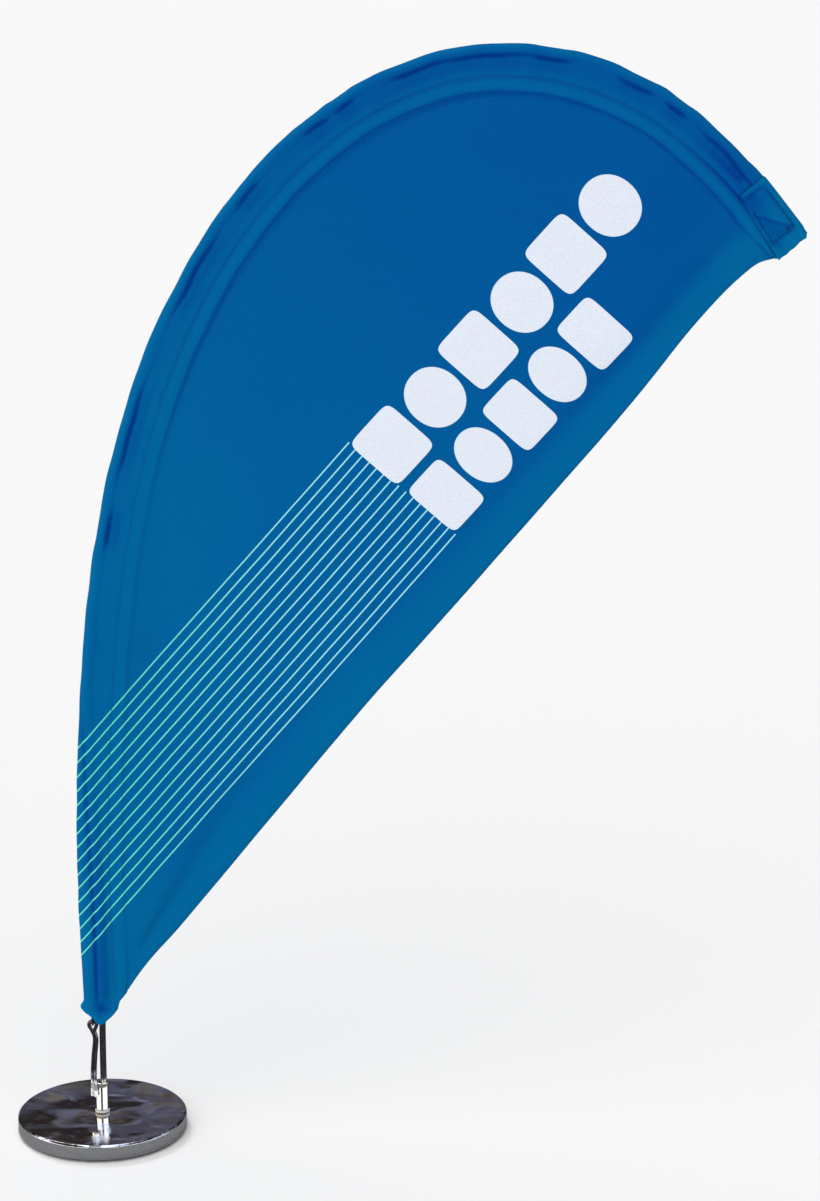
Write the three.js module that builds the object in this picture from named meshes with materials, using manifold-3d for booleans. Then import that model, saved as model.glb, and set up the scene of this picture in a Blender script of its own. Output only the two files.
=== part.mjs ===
// A table-top teardrop flag: a sewn cloth sail, held in a bow by a thin steel rod, that swivels on a
// heavy chrome disc. Millimetres, +Z up. The origin is the centre of the underside of the base, the
// sail stands in the plane y = 0, its printed face looks along -Y, and it leans towards +X.
import * as THREE from 'three';
import { mergeVertices } from 'three/addons/utils/BufferGeometryUtils.js';
import Module from 'manifold-3d';

const wasm = await Module();
wasm.setup();

// ---------------------------------------------------------------- driving dimensions

const GAP = 0.3; // clearance left between pieces that touch
const LATHE_SEGMENTS = 96; // round the base
const SMALL_SEGMENTS = 32; // round the small turned pieces

const PAD = { radius: 30, thickness: 0.7 };
const DISC = { radius: 32.5, bottom: PAD.thickness + GAP, height: 5.9, topChamfer: 1.2, bottomChamfer: 0.3 };
const DISC_TOP = DISC.bottom + DISC.height;

const SPINDLE = { radius: 1.5, top: 13.2, tipChamfer: 0.4 };
const SCREW_HEAD = { radius: 3.6, height: 2.1, recess: 0.3 };
const HEX_SOCKET = { radius: 1.45, depth: 1.3 };
const WASHER = { outer: 2.75, inner: SPINDLE.radius + GAP, thickness: 0.8 };
const WASHER_TOP = DISC_TOP + GAP + WASHER.thickness;

const POST = { radius: 2.6, bottom: WASHER_TOP + GAP, top: 19.6, rim: 0.4 };
const SOCKET_TOP = SPINDLE.top + GAP;
const ROD = { radius: 1.25, x: 0.7, bottom: 14.4, sides: 10, steps: 84 };

const WIRE = { radius: 0.65, sides: 8, steps: 78 };
const EYE = { x: -2.9, z: 42.9, radius: 1.45 };
const LOOP = { radius: 0.4, halfWidth: 1.2, top: 51, sides: 8, steps: 30 };

const CLOTH = 0.45; // one layer of the sleeve
const SLEEVE = { width: 17, halfGap: 1.65 };
const SEAM = { width: 5, thickness: 0.5, overlap: 2 };
const PANEL_THICKNESS = 0.6;
const TIP = { length: 27.5, startWidth: 11.2, endWidth: 13.8, halfGap: 2.2, layer: 0.55 };
const CAP = { radius: 1.85, length: 7, wall: 1.2, bore: ROD.radius + 0.25 };
const TAB = { halfGap: 1.95, layer: 0.6 };

const EDGE_STEPS = 76; // along the bowed edge

// The bowed edge of the sail (x, z), from its lower corner over the top to the tip.
const BOWED_EDGE = [
  [-6, 55.5], [-7, 93.5], [-6.7, 131.5], [-4.7, 169.5], [-1.3, 207], [4.5, 244.5], [13.7, 281.5],
  [27.4, 317], [45.7, 350], [69.8, 379.3], [100, 402.4], [136, 415.8], [173.5, 415.1], [209, 401.5],
  [238.7, 377], [262.8, 348.2],
];
// The free edge, from the tip back down to the lower corner, and the tip's own lower corner.
const TIP_CORNER = [253, 338.3];
const FREE_EDGE = [
  [251.4, 340], [244.5, 338], [237, 332], [221, 314.2], [199.5, 286.4], [167, 247.2], [134, 208.2],
  [100.4, 169.2], [66.3, 126.8], [31.5, 83.5], [19.8, 70], [10.9, 57.1], [9.8, 55.2],
];
const FREE_EDGE_STEPS = 40;
// The rod's middle where it stands clear of the bowed edge; above it follows that edge.
const ROD_LOWER = [[0.8, 40], [1.1, 58], [0.9, 80], [0.2, 105], [-0.8, 130], [-1.5, 160], [-1.4, 180]];
const ROD_INSET = 2.6; // the rod's middle, inside the bowed edge
const ROD_JOINS_EDGE = 0.265; // where that begins, as a share of the edge's length
const ROD_TIP = { inset: 4.4, run: 45, end: 8 }; // it bends further in over the last stretch, and stops short
const ROD_POINT_EVERY = 3; // steps of the edge between two points of the rod's path
const LOWER_END = { left: -20, right: 40, bottom: 40, panel: 60, seam: 62 }; // where the lower corner is cut off
const OVERRUN = 12; // how far a cutting strip runs on past the ends of the edge

// ---------------------------------------------------------------- solids from geometries

function solidOf(geometry) {
  const bare = geometry.clone();
  bare.deleteAttribute('normal');
  bare.deleteAttribute('uv');
  const merged = mergeVertices(bare, 1e-4);
  const vertProperties = new Float32Array(merged.attributes.position.array);
  const triVerts = new Uint32Array(merged.index.array);
  return new wasm.Manifold(new wasm.Mesh({ numProp: 3, vertProperties, triVerts }));
}

function geometryOf(solid) {
  const { vertProperties, triVerts } = solid.getMesh();
  const geometry = new THREE.BufferGeometry();
  geometry.setAttribute('position', new THREE.BufferAttribute(vertProperties, 3));
  geometry.setIndex(new THREE.BufferAttribute(triVerts, 1));
  geometry.computeVertexNormals();
  return geometry;
}

function cut(body, ...tools) {
  const solid = tools.reduce((rest, tool) => rest.subtract(solidOf(tool)), solidOf(body));
  return geometryOf(solid);
}

function common(a, b) {
  return geometryOf(solidOf(a).intersect(solidOf(b)));
}

// A turned piece about the Z axis. The profile holds [radius, z] pairs and closes on itself.
function turned(profile, segments) {
  const points = [...profile, profile[0]].map(([radius, z]) => new THREE.Vector2(radius, z));
  return new THREE.LatheGeometry(points, segments).rotateX(Math.PI / 2);
}

// A round bar along Z, from one height to another.
function bar(radius, from, to, x = 0) {
  const geometry = new THREE.CylinderGeometry(radius, radius, to - from, SMALL_SEGMENTS);
  return geometry.rotateX(Math.PI / 2).translate(x, 0, (from + to) / 2);
}

// A flat piece standing in the plane y = middle: an outline of (x, z) points with a thickness.
function plate(outline, halfThickness, middle = 0) {
  const shape = new THREE.Shape(outline);
  const geometry = new THREE.ExtrudeGeometry(shape, { depth: 2 * halfThickness, bevelEnabled: false });
  return geometry.rotateX(Math.PI / 2).translate(0, middle + halfThickness, 0);
}

// A round wire along a path.
function wireAlong(path, { radius, sides, steps }) {
  const section = new THREE.Shape();
  section.absarc(0, 0, radius, 0, 2 * Math.PI);
  const options = { steps, curveSegments: sides / 2, extrudePath: path, bevelEnabled: false };
  return new THREE.ExtrudeGeometry(section, options);
}

const flat = ([x, z]) => new THREE.Vector2(x, z);
const standing = (x, z, y = 0) => new THREE.Vector3(x, y, z);

// ---------------------------------------------------------------- the sail's outline

const bowedEdge = new THREE.CatmullRomCurve3(BOWED_EDGE.map(([x, z]) => standing(x, z)));
const bowedLength = bowedEdge.getLength();

// A point inside the bowed edge: at a share of its length, at a depth towards the sail's middle.
function inside(share, depth, ahead = 0) {
  const point = bowedEdge.getPointAt(share);
  const along = bowedEdge.getTangentAt(share);
  const x = point.x + along.z * depth + along.x * ahead;
  const z = point.z - along.x * depth + along.z * ahead;
  return new THREE.Vector2(x, z);
}

function lineInside(depth, from = 0, to = 1) {
  const steps = Math.ceil(EDGE_STEPS * (to - from));
  return Array.from({ length: steps + 1 }, (_, i) => inside(from + ((to - from) * i) / steps, depth));
}

// The strip of the sail between two depths. It runs on past the edge's two ends.
function strip(outer, inner) {
  return [
    inside(0, outer, -OVERRUN), ...lineInside(outer), inside(1, outer, OVERRUN),
    inside(1, inner, OVERRUN), ...lineInside(inner).reverse(), inside(0, inner, -OVERRUN),
  ];
}

// A block over the sail's lower corner, up to a height.
function lowerEnd(top, halfThickness, middle = 0) {
  const { left, right, bottom } = LOWER_END;
  return plate([[left, bottom], [right, bottom], [right, top], [left, top]].map(flat), halfThickness, middle);
}

const freeEdge = new THREE.CatmullRomCurve3(FREE_EDGE.map(([x, z]) => standing(x, z)));
const freeEdgeLine = freeEdge.getSpacedPoints(FREE_EDGE_STEPS).map((p) => new THREE.Vector2(p.x, p.z));
const sailOutline = [...lineInside(0), flat(TIP_CORNER), ...freeEdgeLine];
const tipStart = 1 - TIP.length / bowedLength;
const OUTSIDE = -4; // a depth past the bowed edge

// ---------------------------------------------------------------- the base

function basePad() {
  return bar(PAD.radius, 0, PAD.thickness).toNonIndexed();
}

function baseDisc() {
  const { radius, bottom, topChamfer, bottomChamfer } = DISC;
  const bore = SPINDLE.radius + GAP;
  const sinkRadius = SCREW_HEAD.radius + GAP;
  const sinkDepth = SCREW_HEAD.recess + SCREW_HEAD.height + GAP;
  return turned([
    [bore, bottom + sinkDepth],
    [sinkRadius, bottom + SCREW_HEAD.recess],
    [sinkRadius, bottom],
    [radius - bottomChamfer, bottom],
    [radius, bottom + bottomChamfer],
    [radius, DISC_TOP - topChamfer],
    [radius - topChamfer, DISC_TOP],
    [bore, DISC_TOP],
  ], LATHE_SEGMENTS);
}

// A countersunk screw, driven from below, whose plain end is the spindle that the post turns on.
function spindleScrew() {
  const headBottom = DISC.bottom + SCREW_HEAD.recess;
  const headTop = headBottom + SCREW_HEAD.height;
  const screw = turned([
    [0, headBottom],
    [SCREW_HEAD.radius, headBottom],
    [SPINDLE.radius, headTop],
    [SPINDLE.radius, SPINDLE.top - SPINDLE.tipChamfer],
    [SPINDLE.radius - SPINDLE.tipChamfer, SPINDLE.top],
    [0, SPINDLE.top],
  ], SMALL_SEGMENTS);
  const key = new THREE.CylinderGeometry(HEX_SOCKET.radius, HEX_SOCKET.radius, 2 * HEX_SOCKET.depth, 6);
  return cut(screw, key.rotateX(Math.PI / 2).translate(0, 0, headBottom));
}

function thrustWasher() {
  const bottom = DISC_TOP + GAP;
  return turned([
    [WASHER.inner, bottom],
    [WASHER.outer, bottom],
    [WASHER.outer, WASHER_TOP],
    [WASHER.inner, WASHER_TOP],
  ], SMALL_SEGMENTS);
}

// ---------------------------------------------------------------- the pole

// The post: a bore below for the spindle, and an off-centre socket above for the rod.
function polePost() {
  const { radius, bottom, top, rim } = POST;
  const blank = turned([
    [0, bottom],
    [radius, bottom],
    [radius, top - rim],
    [radius - rim, top],
    [0, top],
  ], SMALL_SEGMENTS);
  const spindleBore = bar(SPINDLE.radius + GAP, bottom - 1, SOCKET_TOP);
  const rodSocket = bar(ROD.radius + GAP, ROD.bottom - GAP, top + 1, ROD.x);
  return cut(blank, spindleBore, rodSocket);
}

function rodPath() {
  const end = 1 - ROD_TIP.end / bowedLength;
  const steps = Math.ceil((EDGE_STEPS * (end - ROD_JOINS_EDGE)) / ROD_POINT_EVERY);
  const upper = Array.from({ length: steps + 1 }, (_, i) => {
    const share = ROD_JOINS_EDGE + ((end - ROD_JOINS_EDGE) * i) / steps;
    const left = (1 - share) * bowedLength;
    const inset = THREE.MathUtils.smoothstep(ROD_TIP.run - left, 0, ROD_TIP.run - ROD_TIP.end);
    const point = inside(share, THREE.MathUtils.lerp(ROD_INSET, ROD_TIP.inset, inset));
    return standing(point.x, point.y);
  });
  return new THREE.CatmullRomCurve3([
    standing(ROD.x, ROD.bottom),
    ...ROD_LOWER.map(([x, z]) => standing(x, z)),
    ...upper,
  ]);
}

function poleRod() {
  return wireAlong(rodPath(), ROD);
}

// A push-on plastic cap, so that the rod's end doesn't wear through the cloth.
function rodCap() {
  const path = rodPath();
  const end = path.getPointAt(1);
  const along = path.getTangentAt(1);
  const bottom = CAP.wall - CAP.length;
  const cap = turned([
    [CAP.bore, bottom],
    [CAP.radius, bottom],
    [CAP.radius, CAP.wall - 0.5],
    [CAP.radius - 0.5, CAP.wall],
    [0, CAP.wall],
    [0, GAP],
    [CAP.bore, GAP],
  ], SMALL_SEGMENTS);
  const turn = new THREE.Quaternion().setFromUnitVectors(new THREE.Vector3(0, 0, 1), along);
  return cap.applyQuaternion(turn).translate(end.x, end.y, end.z);
}

// The hook: one spring wire bent double. Its bend is the eye that the sail's lower corner is tied to,
// its two strands lie beside the rod, and its feet are brazed to the front of the post.
function hookWire() {
  const { x, z, radius } = EYE;
  const eye = Array.from({ length: 9 }, (_, i) => {
    const angle = Math.PI * (1.15 - (1.3 * i) / 8);
    return standing(x + radius * Math.cos(angle), z + radius * Math.sin(angle));
  });
  return wireAlong(new THREE.CatmullRomCurve3([
    standing(-3.35, 14.4, -2.1), standing(-3.35, 17.6, -2.1), standing(-3.45, 20.4, -1.7),
    standing(-3.5, 22.4, -0.4), standing(-3.45, 25, 0.15), standing(-3, 31, 0.25), standing(-2.45, 37.6, 0.25),
    standing(-3.3, 40.4),
    ...eye,
    standing(-2.2, 40.4), standing(-1.45, 37.6, -0.6), standing(-1.95, 31, -0.65), standing(-2.35, 25, -0.75),
    standing(-2.35, 22.4, -1.5), standing(-2.2, 20.4, -2.9), standing(-2, 17.6, -3.2),
    standing(-2, 14.4, -3.2),
  ]), WIRE);
}

// ---------------------------------------------------------------- the sail

function flagPanel() {
  const sail = plate(sailOutline, PANEL_THICKNESS / 2);
  const underSleeve = plate(strip(OUTSIDE, SLEEVE.width - SEAM.overlap), SLEEVE.halfGap + 1);
  return cut(sail, underSleeve, lowerEnd(LOWER_END.panel, 1));
}

// The sleeve that the rod runs in: cloth folded round the rod and open along the seam side.
function poleSleeve() {
  const halfThickness = SLEEVE.halfGap + CLOTH;
  const folded = common(plate(sailOutline, halfThickness), plate(strip(OUTSIDE, SLEEVE.width), halfThickness + 1));
  const hollow = plate(strip(CLOTH, SLEEVE.width + 5), SLEEVE.halfGap);
  const tipPocketSpace = plate(tipStrip(GAP), halfThickness + 1);
  return cut(folded, hollow, tipPocketSpace);
}

// The seam allowance that covers the joint of sleeve and panel on the printed face.
function seamBinding() {
  const front = -(SLEEVE.halfGap + CLOTH + GAP + SEAM.thickness / 2);
  const binding = plate(strip(SLEEVE.width - SEAM.width, SLEEVE.width), SEAM.thickness / 2, front);
  const sail = plate(sailOutline, SEAM.thickness, front);
  const tipPocketSpace = plate(tipStrip(GAP), SEAM.thickness, front);
  return cut(common(binding, sail), tipPocketSpace, lowerEnd(LOWER_END.seam, 1, front));
}

// The outline of the tip pocket, a trapezium at the end of the sleeve, grown by a margin.
function tipStrip(margin) {
  const back = -margin;
  const ahead = margin === 0 ? 0 : OVERRUN;
  const outer = margin === 0 ? 0 : OUTSIDE;
  return [
    inside(tipStart, outer, back), ...lineInside(outer, tipStart, 1), inside(1, outer, ahead),
    inside(1, TIP.endWidth + margin, ahead), inside(1, TIP.endWidth + margin),
    inside(tipStart, TIP.startWidth + margin, back),
  ];
}

// The reinforced pocket that takes the rod's end: closed at the tip, open towards the sleeve.
function tipPocket() {
  const hollowWidth = TIP.endWidth + 4;
  const start = inside(tipStart, TIP.layer, -4);
  const startInner = inside(tipStart, hollowWidth, -4);
  const end = inside(1, TIP.layer, -TIP.layer);
  const endInner = inside(1, hollowWidth, -TIP.layer);
  const hollow = plate([start, ...lineInside(TIP.layer, tipStart, 0.985), end, endInner, startInner], TIP.halfGap);
  return cut(plate(tipStrip(0), TIP.halfGap + TIP.layer), hollow);
}

// The folded tab that closes the lower corner, in front of and behind the rod and the eye.
function cornerTab() {
  const outline = [
    [-6, 54.7], [-6.1, 52.6], [-7.4, 50.6], [-6.6, 49.6], [-3.4, 47.2], [-1.4, 45], [0.1, 43.9],
    [1.6, 44.5], [3.6, 46.2], [6.9, 49.5], [7.5, 52.6], [9.4, 54.7],
  ];
  const hollow = [
    [-5.3, 56], [-5.4, 52.4], [-6.6, 50.6], [-5.9, 49.9], [-4.2, 48.7], [-4.2, 40], [12, 40], [12, 56],
  ];
  return cut(plate(outline.map(flat), TAB.halfGap + TAB.layer), plate(hollow.map(flat), TAB.halfGap));
}

// The elastic that ties the lower corner down: through the eye, with both ends sewn into the tab.
function tensionLoop() {
  const { halfWidth, top } = LOOP;
  const middle = EYE.z + halfWidth;
  const bend = Array.from({ length: 9 }, (_, i) => {
    const angle = Math.PI * (1 + i / 8);
    return standing(EYE.x, middle + halfWidth * Math.sin(angle), halfWidth * Math.cos(angle));
  });
  return wireAlong(new THREE.CatmullRomCurve3([
    standing(EYE.x, top, -halfWidth), standing(EYE.x, top - 4, -halfWidth), ...bend,
    standing(EYE.x, top - 4, halfWidth), standing(EYE.x, top, halfWidth),
  ]), LOOP);
}

// ---------------------------------------------------------------- materials and assembly

const chrome = () => new THREE.MeshStandardMaterial({ color: 0xc8c8cc, roughness: 0.06, metalness: 1 });
const steel = () => new THREE.MeshStandardMaterial({ color: 0x9a9a9e, roughness: 0.35, metalness: 1 });
const rubber = () => new THREE.MeshStandardMaterial({ color: 0x1c1c1e, roughness: 0.9, metalness: 0 });
const nylon = () => new THREE.MeshStandardMaterial({ color: 0xdcdcd6, roughness: 0.5, metalness: 0 });
const blackPlastic = () => new THREE.MeshStandardMaterial({ color: 0x18181a, roughness: 0.55, metalness: 0 });
const blueCloth = () => new THREE.MeshStandardMaterial({ color: 0x005c9e, roughness: 0.75, metalness: 0 });
const blueElastic = () => new THREE.MeshStandardMaterial({ color: 0x0a3f72, roughness: 0.8, metalness: 0 });

const pieces = [
  ['base_pad', basePad, rubber],
  ['base_disc', baseDisc, chrome],
  ['spindle_screw', spindleScrew, steel],
  ['thrust_washer', thrustWasher, nylon],
  ['pole_post', polePost, chrome],
  ['hook_wire', hookWire, chrome],
  ['pole_rod', poleRod, chrome],
  ['rod_cap', rodCap, blackPlastic],
  ['flag_panel', flagPanel, blueCloth],
  ['pole_sleeve', poleSleeve, blueCloth],
  ['seam_binding', seamBinding, blueCloth],
  ['tip_pocket', tipPocket, blueCloth],
  ['corner_tab', cornerTab, blueCloth],
  ['tension_loop', tensionLoop, blueElastic],
];

const teardropFlag = new THREE.Group();
for (const [name, shape, material] of pieces) {
  const mesh = new THREE.Mesh(shape(), material());
  mesh.name = name;
  teardropFlag.add(mesh);
}

export default teardropFlag;
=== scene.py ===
"""The looks of a table-top teardrop flag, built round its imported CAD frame.

Shapes are worked out in millimetres in the frame's own axes and become metres when a mesh is made.
The sail stands in the plane y = 0 and its printed face looks along -Y. "s" is a place along the bowed
edge, from the lower corner over the top to the tip, and "depth" is how far inside that edge.
"""
from functools import partial, reduce
from math import cos, pi, radians, sin

import bmesh
import bpy
import numpy as np
from mathutils import Matrix, Vector


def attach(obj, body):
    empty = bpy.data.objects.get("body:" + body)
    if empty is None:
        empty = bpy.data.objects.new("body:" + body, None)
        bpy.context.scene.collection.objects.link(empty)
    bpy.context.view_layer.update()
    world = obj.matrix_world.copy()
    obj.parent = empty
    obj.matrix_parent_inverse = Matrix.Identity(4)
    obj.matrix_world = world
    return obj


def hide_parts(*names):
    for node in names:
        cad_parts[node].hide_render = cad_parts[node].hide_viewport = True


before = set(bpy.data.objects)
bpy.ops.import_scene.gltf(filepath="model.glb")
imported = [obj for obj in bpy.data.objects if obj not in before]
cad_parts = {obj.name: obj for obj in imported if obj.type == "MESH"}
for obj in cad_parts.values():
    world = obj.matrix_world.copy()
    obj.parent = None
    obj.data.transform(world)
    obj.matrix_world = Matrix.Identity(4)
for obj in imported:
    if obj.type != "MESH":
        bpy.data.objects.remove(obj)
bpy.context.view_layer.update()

MM = 0.001
WELD = 1e-4  # points nearer than this become one
SMOOTH_ANGLE = radians(38)

# ---- sizes, in millimetres

GAP = 0.3  # between neighbours
PAD_RADIUS, PAD_HEIGHT = 30.0, 0.7
DISC_RADIUS, DISC_BOTTOM, DISC_TOP = 32.5, 1.0, 6.9
SPINDLE_RADIUS, SPINDLE_TOP = 1.5, 13.2
HEAD_RADIUS, HEAD_HEIGHT, HEAD_RECESS = 3.6, 2.1, 0.3
HEX_RADIUS, HEX_DEPTH = 1.45, 1.3
WASHER_OUTER, WASHER_INNER, WASHER_BOTTOM, WASHER_TOP = 2.75, 1.8, 7.2, 8.0
POST_RADIUS, POST_BOTTOM, POST_TOP = 2.6, 8.3, 19.6
SPINDLE_BORE_TOP = 13.5
ROD_RADIUS, ROD_X, ROD_BOTTOM = 1.25, 0.7, 14.4
ROD_INSET, ROD_TIP_INSET = 2.6, 4.4  # how far inside the bowed edge the rod runs, and at its end
ROD_JOINS_EDGE = 0.265  # the share of the bowed edge from which the rod keeps to it
ROD_TIP_RUN, ROD_TIP_END = 45.0, 8.0  # where the rod turns in and where it ends, back from the tip
CAP_RADIUS, CAP_LENGTH, CAP_WALL = 1.85, 7.0, 1.2
WIRE_RADIUS, EYE_X, EYE_Z, EYE_RADIUS = 0.65, -2.9, 42.9, 1.45
LOOP_RADIUS, LOOP_HALF_WIDTH, LOOP_TOP = 0.4, 1.2, 51.0

CLOTH = 0.3  # one layer
SLEEVE_WIDTH = 17.0  # from the fold to the seam allowance's edge
NEEDLE_LINE = 12.0  # the depth of the seam
SEAM_HEIGHT = 0.42  # from the sail's plane to the middle of the sewn layer
STITCH_PITCH = 1.35
THREAD_STEP = 1.25  # the same, where the stitches are guided by hand
PUCKER_PITCH = 4.3  # of the puckers that the seam draws
SEAM_TAPER = 2.4  # how much narrower the seam gets beside the tip pocket
TIP_LENGTH, TIP_START_WIDTH, TIP_END_WIDTH = 27.5, 11.2, 13.8
BOX_START, BOX_END, BOX_OUTER, BOX_INSET = 2.0, 21.6, 2.2, 1.4  # the tip pocket's box of stitches
SLEEVE_BOTTOM = 56.0  # the height at which the sleeve starts
TAB_TOP, TAB_LEFT, TAB_RIGHT = 58.0, -5.8, 11.0  # the corner tab's top line, tucked under the sleeve

# The sail's outline as (x, z): the bowed edge from the lower corner to the tip, and the free edge back.
BOWED_EDGE = [
    (-6, 55.5), (-7, 93.5), (-6.7, 131.5), (-4.7, 169.5), (-1.3, 207), (4.5, 244.5), (13.7, 281.5),
    (27.4, 317), (45.7, 350), (69.8, 379.3), (100, 402.4), (136, 415.8), (173.5, 415.1), (209, 401.5),
    (238.7, 377), (262.8, 348.2),
]
FREE_EDGE = [
    (251.4, 340), (244.5, 338), (237, 332), (221, 314.2), (199.5, 286.4), (167, 247.2), (134, 208.2),
    (100.4, 169.2), (66.3, 126.8), (31.5, 83.5), (19.8, 70), (10.9, 57.1), (9.8, 55.2),
]
# The rod between the post and the place where it joins the bowed edge.
ROD_LOWER = [(0.8, 40), (1.1, 58), (0.9, 80), (0.2, 105), (-0.8, 130), (-1.5, 160), (-1.4, 180)]

# Where the cloth is drawn in on the rod's inner side: the middle of each crease, and its length.
CREASES = [
    (185, 14), (224, 34), (288, 32), (323, 12), (359, 10), (372, 8), (401, 18), (428, 34), (453, 12),
    (486, 14), (503, 9), (530, 26),
]

# The tension folds: from the tip or the lower corner, to a place; first and last widths, and height.
FOLDS = [
    ((251, 342), (160, 268), 1.6, 8.0, -1.0),
    ((251, 342), (165, 300), 1.5, 9.0, 0.9),
    ((251, 342), (200, 345), 1.5, 8.0, -0.4),
    ((7, 58), (110, 186), 1.8, 7.0, 1.7),
    ((7, 58), (72, 164), 1.2, 6.5, -1.6),
    ((7, 58), (26, 165), 1.0, 5.0, 0.7),
    ((7, 58), (14, 150), 0.8, 3.5, -0.45),
]

# ---- curves


def curve(points, per_span=24):
    """A centripetal Catmull-Rom curve through the points, as a Line of fine steps."""
    p = np.array(points, float)
    p = np.vstack([2 * p[0] - p[1], p, 2 * p[-1] - p[-2]])
    t = np.linspace(0, 1, per_span, endpoint=False)[:, None]
    spans = []
    for a, b, c, d in zip(p, p[1:], p[2:], p[3:]):
        ab, bc, cd = (np.sqrt(np.linalg.norm(q)) for q in (b - a, c - b, d - c))
        leave = ((b - a) / ab - (c - a) / (ab + bc) + (c - b) / bc) * bc
        arrive = ((c - b) / bc - (d - b) / (bc + cd) + (d - c) / cd) * bc
        square, cube = 3 * (c - b) - 2 * leave - arrive, 2 * (b - c) + leave + arrive
        spans.append(b + leave * t + square * t**2 + cube * t**3)
    return Line(np.vstack([*spans, p[-2][None]]))


class Line:
    """A polyline whose places are measured along it."""

    def __init__(self, points):
        self.points = np.array(points, float)
        steps = np.linalg.norm(np.diff(self.points, axis=0), axis=1)
        self.along = np.concatenate([[0], np.cumsum(steps)])
        self.length = self.along[-1]
        slopes = np.gradient(self.points, self.along, axis=0)
        self.slopes = slopes / np.linalg.norm(slopes, axis=1, keepdims=True)

    def at(self, s):
        return np.stack([np.interp(s, self.along, column) for column in self.points.T], -1)

    def heading(self, s):
        slopes = np.stack([np.interp(s, self.along, column) for column in self.slopes.T], -1)
        return slopes / np.linalg.norm(slopes, axis=-1, keepdims=True)


def smooth(value, zero, one):
    """0 up to the first value, 1 from the second on, and a soft slope between; either may be the larger."""
    t = np.clip((np.asarray(value, float) - zero) / (one - zero), 0, 1)
    return t * t * (3 - 2 * t)


def bell(offset, width, power=2):
    """1 in the middle of a bell-shaped bump and near 0 beyond its width."""
    return np.exp(-np.abs(offset / width) ** power)


def rounding(inwards, radius):
    """0 at a border, rising along a quarter circle to 1 at the radius."""
    return np.sqrt(1 - (1 - np.clip(inwards / radius, 0, 1)) ** 2)


def towards(value, other, share):
    """The value at share 0, the other at share 1."""
    return value + (other - value) * share


def shaded(dark, lit, hides):
    """The shade of a place from how dark and how lit it is. The dark hides the light."""
    return dark - lit * (1 - np.clip(hides * dark, 0, 1))


def turn_round(count):
    """Angles all the way round, evenly spaced."""
    return np.linspace(0, 2 * pi, count, endpoint=False)


def wobble(s, *periods):
    """A slow wave of mixed periods, between -1 and 1, the same each time."""
    return sum(np.sin(2 * pi * s / period + period) for period in periods) / len(periods)


bowed = curve(BOWED_EDGE)
free = curve(FREE_EDGE)
TIP_START = bowed.length - TIP_LENGTH


def inside(s, depth):
    """Points (x, z) at places along the bowed edge, at depths inside it."""
    along = bowed.heading(s)
    inward = np.stack([along[..., 1], -along[..., 0]], -1)
    return bowed.at(s) + inward * np.asarray(depth, float)[..., None]


def standing(flat, y):
    """Points (x, z) at heights y from the sail's plane, as (x, y, z)."""
    y = np.broadcast_to(y, flat.shape[:-1])
    return np.stack([flat[..., 0], y, flat[..., 1]], -1)


def rod_line():
    """The rod's axis, from its socket in the post to its end in the tip pocket."""
    end = bowed.length - ROD_TIP_END
    s = np.linspace(ROD_JOINS_EDGE * bowed.length, end, 21)
    inset = smooth(ROD_TIP_RUN - (bowed.length - s), 0, ROD_TIP_RUN - ROD_TIP_END)
    upper = inside(s, ROD_INSET + (ROD_TIP_INSET - ROD_INSET) * inset)
    flat = np.vstack([[(ROD_X, ROD_BOTTOM)], ROD_LOWER, upper])
    return curve(standing(flat, 0.0))


rod = rod_line()


def rod_depths():
    """How deep inside the bowed edge the rod runs: places along the edge, and the depth at each."""
    places = rod.points[rod.points[:, 2] > BOWED_EDGE[0][1]][:, [0, 2]]
    fine = np.linspace(0, bowed.length, 2400)
    edge = bowed.at(fine)
    apart = np.linalg.norm(places[:, None] - edge[None], axis=-1)
    nearest = apart.argmin(1)
    return fine[nearest], apart[np.arange(len(places)), nearest]


rod_s, rod_depth = rod_depths()

# ---- meshes


def linked(name, data):
    """A new object in the scene."""
    made = bpy.data.objects.new(name, data)
    bpy.context.scene.collection.objects.link(made)
    return made


def mesh_piece(name, points, faces, smooth_angle=SMOOTH_ANGLE, shade=None):
    """A new object from points in millimetres. shade, -1 to 1 at each point, is painted shade above 0 and
    painted highlight below 0 on the cloth's colour.
    """
    mesh = bpy.data.meshes.new(name)
    mesh.from_pydata((np.asarray(points, float).reshape(-1, 3) * MM).tolist(), [], faces)
    if shade is not None:
        # the shade is kept as an attribute: painted shade and painted highlight for the cloth's colour
        layer = mesh.attributes.new("painted_shading", "FLOAT", "POINT")
        layer.data.foreach_set("value", np.asarray(shade, np.float32).ravel())
    work = bmesh.new()
    work.from_mesh(mesh)
    bmesh.ops.remove_doubles(work, verts=work.verts, dist=WELD * MM)
    bmesh.ops.recalc_face_normals(work, faces=work.faces)
    work.to_mesh(mesh)
    work.free()
    mesh.polygons.foreach_set("use_smooth", [True] * len(mesh.polygons))
    mesh.set_sharp_from_angle(angle=smooth_angle)
    return linked(name, mesh)


def grid_faces(rows, columns, closed=False, start=0):
    """The quads of a grid of points. A closed grid joins its last column to its first."""
    last = columns if closed else columns - 1
    return [
        (start + r * columns + c, start + r * columns + (c + 1) % columns,
         start + (r + 1) * columns + (c + 1) % columns, start + (r + 1) * columns + c)
        for r in range(rows - 1) for c in range(last)
    ]


def closed_sweep(name, rings, **options):
    """A solid from rings of points, one after another, with its two ends filled in."""
    rows, columns = rings.shape[:2]
    faces = grid_faces(rows, columns, closed=True)
    faces.append(tuple(range(columns)))
    faces.append(tuple(range((rows - 1) * columns, rows * columns)))
    return mesh_piece(name, rings, faces, **options)


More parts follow.
